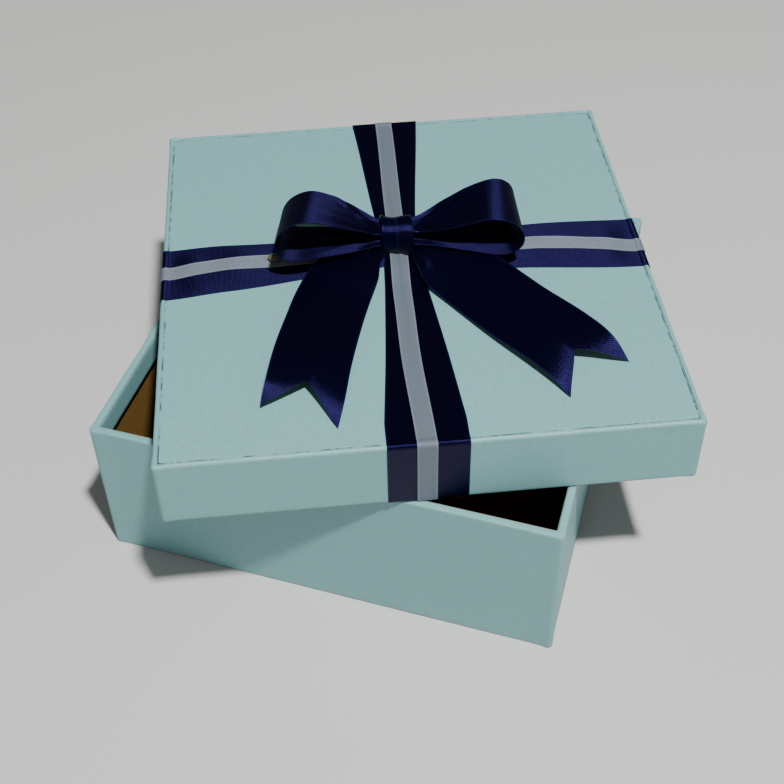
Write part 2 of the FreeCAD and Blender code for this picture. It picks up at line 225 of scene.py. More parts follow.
aqua_paper = paper_finish(
    "aqua_paper",
    light=(0.172, 0.360, 0.375),
    dark=(0.146, 0.322, 0.342),
    fleck=(0.120, 0.290, 0.330),
    fleck_amount=0.3,
    cloud_mm=1.4,
    rough=(0.42, 0.55),
    tooth_mm=0.06,
    specular=0.4,
)


def paint_crease_shade(material, from_side_mm, half_width_mm, color):
    """Paints shade in a crease: darkens a broken line that runs along a cover's side, where the cover's UVs
    hold that distance.
    """
    tree = material.node_tree
    shader = tree.nodes["Principled BSDF"]
    plain = shader.inputs["Base Color"].links[0].from_socket
    place = add(tree, "ShaderNodeUVMap", uv_map="sheet").outputs["UV"]
    from_side = add(tree, "ShaderNodeSeparateXYZ", {"Vector": place}).outputs["Y"]
    aside = maths(tree, "ABSOLUTE", maths(tree, "SUBTRACT", from_side, from_side_mm * MM))
    line = ranged(tree, aside, 0.3 * half_width_mm * MM, half_width_mm * MM, 1.0, 0.0)
    dashes = noisy(tree, add(tree, "ShaderNodeTexCoord").outputs["Object"], 190.0, 3.0, 0.7)
    shade_dashes = ranged(tree, dashes.outputs["Fac"], 0.42, 0.56)
    share = maths(tree, "MULTIPLY", line, shade_dashes)
    tree.links.new(blended(tree, share, plain, (*color, 1)), shader.inputs["Base Color"])


# Painted shade: a dark broken line in the crease behind the lid cover's ridge.
paint_crease_shade(aqua_paper, from_side_mm=1.75, half_width_mm=0.3, color=(0.02, 0.04, 0.045))


def new_piece(name, mesh_code, material, body):
    """Turns a bmesh into a smooth-shaded piece of the object that rides on a body."""
    mesh = bpy.data.meshes.new(name)
    bmesh.ops.recalc_face_normals(mesh_code, faces=mesh_code.faces)
    mesh_code.to_mesh(mesh)
    mesh_code.free()
    mesh.materials.append(material)
    mesh.shade_smooth()
    mesh.set_sharp_from_angle(angle=math.radians(50))
    piece = bpy.data.objects.new(name, mesh)
    bpy.context.scene.collection.objects.link(piece)
    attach(piece, body)
    return piece


def rounded_square(half, radius, per_side, per_corner):
    """Points round a square with rounded corners, anticlockwise from the right end of its front side."""
    points = []
    straight = half - radius
    for turn in range(4):
        quarter = Matrix.Rotation(turn * math.pi / 2, 2)
        for i in range(per_corner + 1):
            angle = -math.pi / 2 + i / per_corner * math.pi / 2
            corner = Vector((straight, -straight))
            points.append(quarter @ (corner + radius * Vector((math.cos(angle), math.sin(angle)))))
        for i in range(1, per_side):
            points.append(quarter @ Vector((half, -half + radius + i / per_side * 2 * straight)))
    return points


side_steps = 84
corner_steps = 5
corner_bulge = 0.45
bulge_reach = 4.0
outer_edge = 1.4
rim_middle = (0.5, 2.4)


def folded_cover(name, side, profile, corner_radius, seed, place, body, crease_above=None):
    """Paper swept round a square, paper_thickness thick on the side of the board.

    profile lists (distance in from the side, height, unevenness) in millimetres. Its last ring is filled.
    Above the height crease_above the UVs hold the distance from the side, which places the painted crease
    shade, and below it they hold -1.
    """
    mesh_code = bmesh.new()
    sheet = mesh_code.loops.layers.uv.new("sheet")
    rings = []
    for inset, height, uneven in profile:
        radius = max(0.5, corner_radius - inset)
        ring = []
        for point in rounded_square(side / 2 - inset, radius, side_steps, corner_steps):
            spot = Vector((point.x, point.y, height))
            wave = noise.noise(spot * 0.11 + Vector((seed, 0, 0)))
            push = max(0.0, 0.5 + 0.6 * wave + 0.4 * noise.noise(spot * 0.45))
            straight = side / 2 - inset - radius
            past = [math.copysign(max(0.0, abs(value) - straight), value) for value in point]
            outward = Vector((*past, 0)).normalized()
            if inset < outer_edge:
                from_corner = math.hypot(side / 2 - abs(point.x), side / 2 - abs(point.y))
                spot += outward * corner_bulge * max(0.0, 1 - from_corner / bulge_reach)
            lift = Vector((0, 0, 1)) if rim_middle[0] < inset < rim_middle[1] else Vector()
            spot += (outward + lift) * push * uneven
            ring.append(mesh_code.verts.new(place @ (spot * MM)))
        rings.append(ring)
    from_side = []
    for inset, height, _ in profile:
        creased = crease_above is not None and height > crease_above
        from_side.append(inset * MM if creased else -1.0)
    for k, (ring, following) in enumerate(zip(rings, rings[1:])):
        for i in range(len(ring)):
            j = (i + 1) % len(ring)
            face = mesh_code.faces.new((ring[i], ring[j], following[j], following[i]))
            for loop, n in zip(face.loops, (k, k, k + 1, k + 1)):
                loop[sheet].uv = (i / len(ring), from_side[n])
    mesh_code.faces.new(rings[-1])
    piece = new_piece(name, mesh_code, aqua_paper, body)
    thicken = piece.modifiers.new("paper", "SOLIDIFY")
    thicken.thickness = paper_thickness * MM
    thicken.offset = -1
    return piece


base_low, base_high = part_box("base_wrap")
base_side = (base_high.x - base_low.x) / MM
base_height = base_high.z / MM
board = (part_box("base_floor_board")[1].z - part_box("base_floor_board")[0].z) / MM
paper_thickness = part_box("base_floor_board")[0].z / MM
wall_thickness = (base_high.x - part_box("base_wall_right")[0].x) / MM + paper_thickness
turn_in = 10.5
corner_radius = 1.3

rim_profile = [
    *((wall_thickness, base_height - depth, -0.15) for depth in (turn_in, 8.0, 5.0, 2.7, 1.1)),
    (wall_thickness - 0.1, base_height - 0.45, -0.08),
    (wall_thickness - 0.35, base_height - 0.14, 0.0),
    (1.9, base_height - 0.1, 0.12),
    (1.3, base_height - 0.1, 0.12),
    (0.8, base_height - 0.1, 0.12),
    (0.4, base_height - 0.08, 0.1),
    (0.14, base_height - 0.16, 0.14),
    (0.02, base_height - 0.4, 0.16),
    (-0.04, base_height - 1.0, 0.16),
    *((0.0, share * base_height, 0.14) for share in (0.955, 0.9, 0.75, 0.6, 0.45, 0.3, 0.15, 0.05, 0.02)),
    (0.0, 0.5, 0.06),
    (0.12, 0.12, 0.0),
    (0.5, 0.0, 0.0),
    (2.0, 0.0, 0.0),
    *((share * base_side, 0.0, 0.0) for share in (0.06, 0.14, 0.25, 0.4)),
]
tray_cover = folded_cover(
    "tray_cover", base_side, rim_profile, corner_radius, seed=3.1, place=Matrix.Identity(4), body="tray"
)
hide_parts("base_wrap")

# ----------------------------------------------------------------------------------------------------------
# Lid cover. The lid is covered with the same aqua paper. Over the board's edge the paper stands up as a
# soft ridge, with a crease pressed in behind it, and it is turned in 10.5 mm inside the skirt. The crease's
# shade is painted on as a dark broken line.

lid_low, lid_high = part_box("lid_wrap")
lid_corners = [v.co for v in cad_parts["lid_top_board"].data.vertices]
front_left = min(lid_corners, key=lambda corner: corner.y)
front_right = max(lid_corners, key=lambda corner: corner.x)
lid_angle = math.atan2(front_right.y - front_left.y, front_right.x - front_left.x)
board_side = Vector(front_right - front_left).to_2d().length / MM
lid_side = board_side + 2 * (wall_thickness - board - paper_thickness)
lid_height = (lid_high.z - lid_low.z) / MM
lid_middle = (lid_low + lid_high) / 2
lid_place = Matrix.Translation((lid_middle.x, lid_middle.y, lid_low.z)) @ Matrix.Rotation(lid_angle, 4, "Z")

panel_top = lid_height - 0.03
lid_profile = [
    *((wall_thickness, height, -0.12) for height in (turn_in, 7.0, 4.0, 1.6, 0.7)),
    (wall_thickness - 0.12, 0.25, -0.05),
    (wall_thickness - 0.4, 0.02, 0.0),
    (1.6, 0.0, 0.0),
    (0.9, 0.0, 0.0),
    (0.4, 0.02, 0.0),
    (0.12, 0.14, 0.04),
    (0.0, 0.5, 0.1),
    *((0.0, share * lid_height, 0.14) for share in (0.05, 0.1, 0.25, 0.4, 0.55, 0.7, 0.85, 0.93)),
    (-0.04, lid_height - 0.8, 0.14),
    (-0.02, lid_height - 0.3, 0.14),
    (0.16, lid_height + 0.02, 0.12),
    (0.55, lid_height + 0.22, 0.16),
    (1.0, lid_height + 0.3, 0.2),
    (1.3, lid_height + 0.24, 0.2),
    (1.45, lid_height - 0.16, 0.1),
    (1.8, lid_height - 0.18, 0.16),
    (2.05, lid_height - 0.08, 0.1),
    (2.6, panel_top, 0.0),
    (4.0, panel_top, 0.0),
    *((share * lid_side, panel_top, 0.0) for share in (0.06, 0.14, 0.25, 0.4)),
]
lid_cover = folded_cover(
    "lid_cover", lid_side, lid_profile, corner_radius, seed=8.7, place=lid_place, body="lid",
    crease_above=lid_height - 0.5,
)
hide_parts("lid_wrap")

# ----------------------------------------------------------------------------------------------------------
# Dark ribbons. Two lengths of navy satin, 25 mm wide, cross on the lid. Each runs over the edges, down the
# skirt and up inside it, where its ends are glued. Under the knot they are gathered to less than half their
# width.


def build_satin_group():
    """Satin weave: long warp floats and fine ribs, with painted sheen bands and broken painted glints. It
    reads millimetres from the UVs.
    """
    group, given, out = new_group(
        "satin",
        [
            ("Thread", "NodeSocketColor", None),
            ("Shade", "NodeSocketColor", None),
            ("Glint", "NodeSocketColor", None),
            ("Half Width mm", "NodeSocketFloat", 12.5),
        ],
        [
            ("Color", "NodeSocketColor"),
            ("Height", "NodeSocketFloat"),
            ("Roughness Mask", "NodeSocketFloat"),
        ],
    )
    place = add(group, "ShaderNodeUVMap", uv_map="weave").outputs["UV"]
    in_mm = add(group, "ShaderNodeVectorMath", {0: place, "Scale": 1000.0}, operation="SCALE").outputs[0]
    across = add(group, "ShaderNodeSeparateXYZ", {"Vector": in_mm}).outputs["X"]
    floats = add(group, "ShaderNodeMapping", {"Vector": in_mm, "Scale": (3.2, 0.9, 1.0)}).outputs[0]
    sheen_bands = noisy(group, floats, 1.0, 3.0, 0.75).outputs["Fac"]
    speck = noisy(group, in_mm, 2.6, 2.0, 0.8).outputs["Fac"]
    rows = {"Vector": in_mm, "Scale": 0.75, "Distortion": 1.2, "Detail": 2.0, "Detail Scale": 3.0}
    ribs = add(group, "ShaderNodeTexWave", rows, wave_type="BANDS", bands_direction="Y").outputs["Fac"]
    from_edge = maths(group, "SUBTRACT", given.outputs["Half Width mm"], maths(group, "ABSOLUTE", across))
    selvedge_glint = ranged(group, from_edge, 0.25, 0.75, 1.0, 0.0)
    # Painted sheen: the darker Shade and the lighter Thread colours are blended in bands along the floats.
    tone = blended(group, sheen_bands, given.outputs["Shade"], given.outputs["Thread"])
    # Painted glints: the Glint colour is mixed in on scattered specks and along the ribbon's edges.
    brighter = maths(group, "MAXIMUM", ranged(group, speck, 0.6, 0.72), selvedge_glint)
    share = maths(group, "MULTIPLY", brighter, 0.35)
    cloth = maths(group, "ADD", maths(group, "MULTIPLY", speck, 0.8), maths(group, "MULTIPLY", ribs, 0.25))
    height = maths(group, "ADD", cloth, maths(group, "MULTIPLY", selvedge_glint, 0.6))
    group.links.new(blended(group, share, tone, given.outputs["Glint"]), out.inputs["Color"])
    group.links.new(height, out.inputs["Height"])
    group.links.new(sheen_bands, out.inputs["Roughness Mask"])
    return group


satin = build_satin_group()


def satin_finish(name, thread, shade, glint, half_width, rough, weave_mm, shine, shine_color, ior):
    """A satin ribbon material. rough is (least, most), and weave_mm is how deep the weave is. shade is a
    painted darker sheen colour and glint a painted highlight colour.
    """
    material, tree = new_material(name)
    threads = {
        "Thread": (*thread, 1),
        "Shade": (*shade, 1),
        "Glint": (*glint, 1),
        "Half Width mm": half_width,
    }
    pattern = add(tree, "ShaderNodeGroup", threads, node_tree=satin)
    roughness = ranged(tree, pattern.outputs["Roughness Mask"], 0.3, 0.7, *rough)
    shader = dress(tree, pattern, roughness, bump_strength=0.7, depth_mm=weave_mm)
    weft = add(tree, "ShaderNodeTangent", direction_type="UV_MAP", uv_map="weave").outputs["Tangent"]
    tree.links.new(weft, shader.inputs["Tangent"])
    shader.inputs["Anisotropic"].default_value = 1.0
    shader.inputs["IOR"].default_value = ior
    shader.inputs["Specular IOR Level"].default_value = shine
    shader.inputs["Specular Tint"].default_value = (*shine_color, 1)
    return material


navy_satin = satin_finish(
    "navy_satin",
    thread=(0.0012, 0.0010, 0.0080),
    # shade and glint are the painted sheen and painted highlight colours.
    shade=(0.0004, 0.0003, 0.0030),
    glint=(0.006, 0.006, 0.040),
    half_width=12.5,
    rough=(0.36, 0.52),
    weave_mm=0.11,
    shine=1.0,
    shine_color=(0.22, 0.18, 1.0),
    ior=1.28,
)

wide = 25.0
cloth = 0.3
trim = 0.2


def smooth_step(low, high, value):
    share = min(1.0, max(0.0, (value - low) / (high - low)))
    return share * share * (3 - 2 * share)


def woven_strip(name, rows, thickness, material, slot, body, place, full_width):
    """A ribbon: rows of points across its middle surface, in millimetres, made into a closed solid.

    Its UVs hold metres across, counted on the flat ribbon from its middle, and metres along.
    """
    count, across = len(rows), len(rows[0])
    mesh_code = bmesh.new()
    weave = mesh_code.loops.layers.uv.new("weave")
    middle = across // 2
    along = [0.0]
    for row, following in zip(rows, rows[1:]):
        along.append(along[-1] + (following[middle] - row[middle]).length)
    faces = {1: [], -1: []}
    for i in range(count):
        before, after = rows[max(i - 1, 0)], rows[min(i + 1, count - 1)]
        for side in (1, -1):
            faces[side].append([])
        for j in range(across):
            lengthwise = after[j] - before[j]
            crosswise = rows[i][min(j + 1, across - 1)] - rows[i][max(j - 1, 0)]
            normal = crosswise.cross(lengthwise).normalized()
            for side in (1, -1):
                spot = rows[i][j] + normal * side * thickness / 2
                faces[side][i].append(mesh_code.verts.new(place @ (spot * MM)))

    def quad(corners, spots):
        face = mesh_code.faces.new(corners)
        for loop, (i, j) in zip(face.loops, spots):
            loop[weave].uv = ((j / (across - 1) - 0.5) * full_width * MM, along[i] * MM)

    for i in range(count - 1):
        for j in range(across - 1):
            spots = [(i, j), (i + 1, j), (i + 1, j + 1), (i, j + 1)]
            for side in (1, -1):
                quad([faces[side][a][b] for a, b in spots], spots)
    rim = [(i, 0) for i in range(count)] + [(count - 1, j) for j in range(1, across)]
    rim += [(i, across - 1) for i in range(count - 2, -1, -1)] + [(0, j) for j in range(across - 2, 0, -1)]
    for a, b in zip(rim, rim[1:] + rim[:1]):
        corners = [faces[1][a[0]][a[1]], faces[1][b[0]][b[1]], faces[-1][b[0]][b[1]], faces[-1][a[0]][a[1]]]
        quad(corners, [a, b, b, a])
    return new_piece(name, mesh_code, material, body)


def rounded_path(points, rounds=2):
    """A polyline with its corners cut, so that it bends softly where it turns."""
    for _ in range(rounds):
        cut = [points[0]]
        for a, b in zip(points, points[1:]):
            cut += [a.lerp(b, 0.25), a.lerp(b, 0.75)]
        points = cut + [points[-1]]
    return points


def divided(points, longest):
    """The same polyline, with no run longer than that."""
    out = [points[0]]
    for a, b in zip(points, points[1:]):
        steps = max(1, math.ceil((b - a).length / longest))
        out += [a.lerp(b, k / steps) for k in range(1, steps + 1)]
    return out


def over_the_lid(under, thickness):
    """The line a ribbon follows from inside one skirt, over the lid and inside the other, as (u, z)."""
    lift = under + thickness / 2
    half = lid_side / 2
    inner = half - wall_thickness - lift
    right = [
        (half - 14, lid_height + lift),
        (half - 3.4, lid_height + lift),
        (half - 2.2, lid_height + lift + 0.04),
        (half - 1.5, lid_height + lift + 0.4),
        (half - 0.5, lid_height + lift + 0.52),
        (half + lift + 0.2, lid_height + lift - 0.1),
        (half + lift + 0.15, lid_height - 2.0),
        (half + lift + 0.12, 1.5),
        (half + lift + 0.1, -lift),
        (half - 1.2, -lift),
        (inner - 0.1, -lift),
        (inner - 0.12, 1.5),
        (inner - 0.12, 10.0),
    ]
    both = [(-u, z) for u, z in reversed(right)] + right
    return divided(rounded_path([Vector(point) for point in both]), longest=1.6)


def laid_ribbon(name, line, turned, width, thickness, centre_at, width_at, rise_at, **look):
    """A ribbon laid over the lid. turned is True where it runs front to back.

    centre_at and width_at give its middle and its width at a distance along the lid. rise_at gives how much
    a point of it stands up there.
    """
    half = lid_side / 2
    rows = []
    for spot in line:
        u = max(-half, min(half, spot.x))
        row = []
        for k in range(17):
            v = k / 8 - 1
            aside = centre_at(u) + v * width_at(u) / 2
            on_top = spot.z if len(spot) > 2 else spot.y
            if on_top > lid_height:
                on_top += rise_at(u, v)
            row.append(Vector((aside, spot.x, on_top)) if turned else Vector((spot.x, aside, on_top)))
        rows.append(row)
    return woven_strip(name, rows, thickness, place=lid_place, body="lid", full_width=width, **look)


knot_x = -2.0
knot_y = 5.0
drawn_in = 14.0


def along_points(*points):
    """A smooth curve through (distance, value) points, as a function of the distance."""

    def value_at(u):
        for (u0, a), (u1, b) in zip(points, points[1:]):
            if u <= u1:
                return a + (b - a) * smooth_step(u0, u1, u)
        return points[-1][1]

    return value_at


side_centre = along_points((-84, 2.0), (-60, 3.6), (-24, 4.9), (0, 4.2), (40, 3.6), (84, 1.2))
front_centre = along_points((-84, -1.2), (-40, -0.6), (20, -0.8), (84, 0.6))


def side_width(u):
    near = 1 - min(1.0, abs(u - knot_x) / 76)
    return wide - drawn_in * near ** (1.6 if u < knot_x else 2)


def front_width(u):
    near = 1 - min(1.0, abs(u - knot_y) / 78)
    return wide - drawn_in * near


def side_rise(u, v):
    """The side-to-side ribbon is a little arched, and lies in shallow gathers near the knot."""
    billow = 0.75 + 0.5 * noise.noise(Vector((u * 0.08, v, 2.0)))
    arch = billow * (1 - v * v) * (1 - smooth_step(70, 80, abs(u)))
    return arch + (wide - side_width(u)) / wide * (0.5 + 0.5 * math.cos(3 * math.pi * v)) * 0.9


def front_rise(u, v):
    """The front-to-back ribbon is gathered too, and climbs over the other one under the knot."""
    climb = 1.1 * (1 - smooth_step(8, 18, abs(u - knot_y)))
    return (wide - front_width(u)) / wide * (0.5 + 0.5 * math.cos(3 * math.pi * v)) * 1.1 + climb


side_ribbon = laid_ribbon(
    "side_ribbon", over_the_lid(under=0, thickness=cloth), turned=False, width=wide, thickness=cloth,
    centre_at=side_centre, width_at=side_width, rise_at=side_rise,
    material=navy_satin, slot="navy_satin",
)
front_ribbon = laid_ribbon(
    "front_ribbon", over_the_lid(under=0, thickness=cloth), turned=True, width=wide, thickness=cloth,
    centre_at=front_centre, width_at=front_width, rise_at=front_rise,
    material=navy_satin, slot="navy_satin",
)
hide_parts("ribbon_side_to_side")
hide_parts("ribbon_front_to_back")

# ----------------------------------------------------------------------------------------------------------
# Pale ribbons. A 6 mm band of pale grey-blue satin is glued along the middle of each dark ribbon, and turns
# in under the skirt with it.

pale_satin = satin_finish(
    "pale_satin",
    thread=(0.120, 0.150, 0.190),
    # shade and glint are the painted sheen and painted highlight colours.
    shade=(0.085, 0.105, 0.135),
    glint=(0.20, 0.24, 0.30),
    half_width=3.1,
    rough=(0.42, 0.56),
    weave_mm=0.18,
    shine=0.7,
    shine_color=(0.85, 0.9, 1.0),
    ior=1.45,
)
narrow = 6.2
side_stripe_centre = along_points((-84, 2.2), (-60, 4.6), (0, 5.0), (45, 3.9), (84, -0.8))
front_stripe_centre = along_points((-84, -1.6), (-43, -2.6), (-20, -2.3), (20, -1.1), (84, 0.2))


def narrow_width(u):
    return narrow


def on_ribbon(rise, ribbon_centre, ribbon_width, stripe_centre):
    """How far a point of a pale ribbon is lifted by the dark ribbon under it."""

    def lift(u, v):
        aside = stripe_centre(u) + v * narrow / 2 - ribbon_centre(u)
        return rise(u, aside / (ribbon_width(u) / 2))

    return lift


side_stripe = laid_ribbon(
    "side_stripe", over_the_lid(under=cloth, thickness=trim), turned=False, width=narrow, thickness=trim,
    centre_at=side_stripe_centre, width_at=narrow_width,
    rise_at=on_ribbon(side_rise, side_centre, side_width, side_stripe_centre),
    material=pale_satin, slot="pale_satin",
)
front_stripe = laid_ribbon(
    "front_stripe", over_the_lid(under=cloth, thickness=trim), turned=True, width=narrow, thickness=trim,
    centre_at=front_stripe_centre, width_at=narrow_width,
    rise_at=on_ribbon(front_rise, front_centre, front_width, front_stripe_centre),
    material=pale_satin, slot="pale_satin",
)
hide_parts("stripe_side_to_side")
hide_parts("stripe_front_to_back")

# ----------------------------------------------------------------------------------------------------------
# Bow tails. One length of the navy satin lies through the knot, its two halves splayed towards the front.
# Each half arches a little above the lid and bends down to it at its end, which is cut in a swallowtail.

bow_place = lid_place @ Matrix.Translation((0, 0, lid_height * MM))


def smooth_through(controls, steps):
    """Rows of numbers along a smooth curve through the given rows, with that many steps between two."""
    ends = [controls[0], *controls, controls[-1]]
    out = []
    for a, b, c, d in zip(ends, ends[1:], ends[2:], ends[3:]):
        for k in range(steps):
            t = k / steps
            out.append(
                [
                    q + 0.5 * t * (r - p + t * (2 * p - 5 * q + 4 * r - s + t * (3 * (q - r) + s - p)))
                    for p, q, r, s in zip(a, b, c, d)
                ]
            )
    out.append(list(controls[-1]))
    return out


def pleats(width, v, seed, deepest):
    """How far gathered cloth stands off its middle surface: most where its width is drawn in most."""
    drawn = max(0.0, 1 - width / wide)
    wander = noise.noise(Vector((v * 1.7, width * 0.15, seed)))
    return deepest * drawn * math.cos(math.pi * (3 * v + 0.6 * wander))


tail_controls = [
    # x, y and height of its middle, width, and how far its outer edge is raised, in degrees
    (-39.0, -68.0, 0.4, 25.0, 0),
    (-36.4, -60.0, 4.7, 25.0, 9),
    (-33.4, -47.0, 5.6, 25.0, 8),
    (-29.2, -31.0, 4.4, 25.0, 3),
    (-25.0, -18.0, 4.2, 25.0, 0),
    (-20.0, -8.0, 5.4, 23.5, -3),
    (-14.0, 0.0, 5.2, 15.0, -4),
    (-8.0, 4.9, 4.0, 8.0, 0),
    (-2.0, 6.4, 3.7, 6.0, 0),
    (4.0, 4.6, 4.0, 8.0, 0),
    (9.0, 0.0, 4.8, 16.0, 4),
    (14.5, -6.0, 4.2, 23.5, 8),
    (22.8, -17.0, 3.6, 25.0, 12),
    (33.6, -33.0, 4.4, 25.0, 12),
    (43.5, -46.5, 5.4, 25.0, 11),
    (50.0, -55.5, 4.5, 25.0, 10),
    (54.6, -62.0, 0.4, 25.0, 1),
]
tail_path = smooth_through(tail_controls, steps=12)
notch = 12.5
left_slant = 1.5
right_slant = 0.7
tail_end_zone = 24.0


def tail_rows():
    """Rows across the tails, their ends drawn back in the middle to make the swallowtail."""
    run = [0.0]
    for a, b in zip(tail_path, tail_path[1:]):
        run.append(run[-1] + (Vector(b[:3]) - Vector(a[:3])).length)
    length = run[-1]
    stations = []
    for i, (x, y, z, width, roll) in enumerate(tail_path):
        before, after = tail_path[max(i - 1, 0)], tail_path[min(i + 1, len(tail_path) - 1)]
        heading = (Vector(after[:3]) - Vector(before[:3])).normalized()
        level = Vector((heading.y, -heading.x, 0)).normalized()
        outward = Matrix.Rotation(math.radians(roll), 3, heading) @ -level
        stations.append((Vector((x, y, z)), outward, heading.cross(outward).normalized(), width))

    def at(s, v):
        k = max(i for i in range(len(run) - 1) if run[i] <= max(0.0, s)) if s < length else len(run) - 2
        share = (s - run[k]) / (run[k + 1] - run[k])
        middle, outward, lift, width = (
            a.lerp(b, share) if isinstance(a, Vector) else a + (b - a) * share
            for a, b in zip(stations[k], stations[k + 1])
        )
        near_knot = pleats(width, v, seed=5.0, deepest=1.5)
        return middle + outward * v * width / 2 + lift * near_knot

    rows = []
    count = 150
    for i in range(count + 1):
        s = i / count * length
        row = []
        for j in range(21):
            v = j / 10 - 1
            cut = notch * (1 - abs(v))
            if s < tail_end_zone:
                cut += left_slant * v
                spot = cut + s / tail_end_zone * (tail_end_zone - cut)
            elif s > length - tail_end_zone:
                cut -= right_slant * v
                spot = length - cut - (length - s) / tail_end_zone * (tail_end_zone - cut)
            else:
                spot = s
            row.append(at(spot, v))
        rows.append(row)
    return rows


bow_tails = woven_strip(
    "tails", tail_rows(), cloth, navy_satin, "navy_satin", "lid", place=bow_place, full_width=wide
)
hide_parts("bow_tails")

# ----------------------------------------------------------------------------------------------------------
# Bow loops. One length of the same satin makes both loops: out and over to the left, back through the knot,
# out and over to the right, and back. It is pleated to about a quarter of its width in the knot's grip.

loop_controls = [
    # x, y and height of its middle, width, how far its front edge is raised in degrees, and its skew
    (-1.5, 6.4, 9.6, 6.0, 0, 0.0),
    (-8.0, 6.0, 10.9, 8.2, 0, 0.0),
    (-15.0, 5.6, 15.2, 14.5, 6, 0.05),
    (-24.0, 5.5, 20.4, 21.5, 12, 0.12),
    (-32.0, 5.3, 23.0, 25.0, 13.4, 0.15),
    (-38.6, 5.4, 20.3, 25.0, 13, 0.14),
    (-41.8, 5.6, 14.5, 25.0, 13, 0.12),
    (-40.6, 5.6, 9.2, 25.0, 13, 0.12),
    (-35.5, 5.5, 7.2, 25.0, 13, 0.12),
    (-27.0, 5.4, 7.4, 22.0, 12, 0.08),
    (-17.0, 5.2, 7.6, 15.0, 8, 0.04),
    (-9.0, 5.6, 7.2, 8.2, 2, 0.0),
    (-2.0, 6.3, 6.8, 6.0, 0, 0.0),
    (5.0, 5.6, 6.8, 8.2, 0, 0.0),
    (12.0, 5.0, 7.0, 11.5, 2, 0.0),
    (22.0, 4.8, 6.4, 18.5, 4, 0.0),
    (31.0, 4.4, 6.0, 24.5, 5, 0.0),
    (37.3, 4.2, 7.6, 25.0, 5, 0.0),
    (39.8, 4.2, 12.6, 25.0, 5, 0.02),
    (37.3, 4.4, 18.6, 25.0, 5, 0.08),
    (30.6, 4.5, 21.3, 25.0, 5, 0.16),
    (22.0, 4.8, 18.8, 22.0, 4, 0.12),
    (13.0, 5.2, 14.4, 15.5, 2, 0.05),
    (5.0, 6.0, 10.9, 8.2, 0, 0.0),
    (-2.5, 6.4, 10.3, 6.0, 0, 0.0),
]


def loop_rows():
    """Rows across the loops, with pleats that fan out from the knot and a crease on the left loop's top."""
    path = smooth_through(loop_controls, steps=9)
    rows = []
    for i, (x, y, z, width, tilt, skew) in enumerate(path):
        before, after = path[max(i - 1, 0)], path[min(i + 1, len(path) - 1)]
        lengthwise = Vector((after[0] - before[0], after[1] - before[1], after[2] - before[2]))
        turned = math.radians(tilt)
        backward = Vector((skew, math.cos(turned), -math.sin(turned))).normalized()
        lift = lengthwise.cross(backward).normalized()
        row = []
        for j in range(25):
            v = j / 12 - 1
            spot = Vector((x, y, z)) + backward * v * width / 2
            spot += lift * pleats(width, v, seed=2.0 + (z > 9), deepest=1.2)
            if i < len(path) / 6:
                crease_at = 0.05 + 0.85 * smooth_step(-10, -23, x) if x < -10 else 0.05
                nearness = math.exp(-(((v - crease_at) / 0.13) ** 2))
                spot += lift * -0.5 * nearness * smooth_step(8, 12, -x) * smooth_step(27, 21, -x)
            row.append(spot)
        rows.append(row)
    return rows


bow_loops = woven_strip(
    "loops", loop_rows(), cloth, navy_satin, "navy_satin", "lid", place=bow_place, full_width=wide
)
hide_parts("bow_loops")

# ----------------------------------------------------------------------------------------------------------
# Bow knot. A short length of the satin, with both its edges folded under, is wrapped once round the middle
# of the loops and tails and glued to itself underneath.

knot_controls = [
    # y and height of its middle, and width
    (8.4, 1.5, 9.2),
    (6.0, 1.3, 9.2),
    (3.6, 1.9, 9.4),
    (2.2, 4.2, 9.6),
    (2.0, 7.4, 9.8),
    (2.9, 10.6, 9.8),
    (5.4, 12.4, 9.6),
    (8.4, 12.4, 9.6),
    (10.6, 10.4, 9.6),
    (11.3, 6.8, 9.4),
    (10.4, 3.2, 9.2),
    (8.0, 2.0, 9.2),
    (5.4, 1.8, 9.2),
]
fold_from = 0.46
fold_run = 0.08
fold_radius = 0.28
knot_stations = [k / 20 for k in range(-20, -10)]
knot_stations += [k / 100 for k in range(-52, -44, 2)] + [k / 20 for k in range(-8, 9)]
knot_stations += [k / 100 for k in range(46, 54, 2)] + [k / 20 for k in range(11, 21)]


def turned_under(a, half_width):
    """How far aside and how far under a point of the wrap lies. Its outer quarters are folded under."""
    if a < fold_from:
        return a / fold_from * half_width, 0.0
    if a < fold_from + fold_run:
        bend = (a - fold_from) / fold_run * math.pi
        return half_width + fold_radius * math.sin(bend), fold_radius * (1 - math.cos(bend))
    return (1 - a) / fold_from * half_width, 2 * fold_radius


def knot_rows():
    """Rows across the wrap, from its hidden lower end round the front and back to overlap itself."""
    path = smooth_through(knot_controls, steps=8)
    rows = []
    for i, (y, z, width) in enumerate(path):
        before, after = path[max(i - 1, 0)], path[min(i + 1, len(path) - 1)]
        outward = Vector((0, -(after[1] - before[1]), after[0] - before[0])).normalized() * -1
        row = []
        for v in knot_stations:
            aside, under = turned_under(abs(v), width / 2)
            fold = 0.28 * math.cos(math.pi * (1.3 * math.copysign(aside, v) / 6 + 0.3))
            slouch = -0.5 * (aside * 2 / width) ** 2
            aside = math.copysign(aside, v)
            row.append(Vector((knot_x + aside, y - 0.1 * aside, z)) + outward * (fold + slouch - under))
        rows.append(row)
    return rows


bow_knot = woven_strip(
    "knot", knot_rows(), cloth, navy_satin, "navy_satin", "lid", place=bow_place, full_width=wide
)
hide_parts("bow_knot")

# ----------------------------------------------------------------------------------------------------------
# Glue. Dots of hot glue hold the ribbons and the bow. One lies unseen under the knot, and one has squeezed
# out on the side-to-side ribbon. Set glue is a cloudy, yellowish grey.

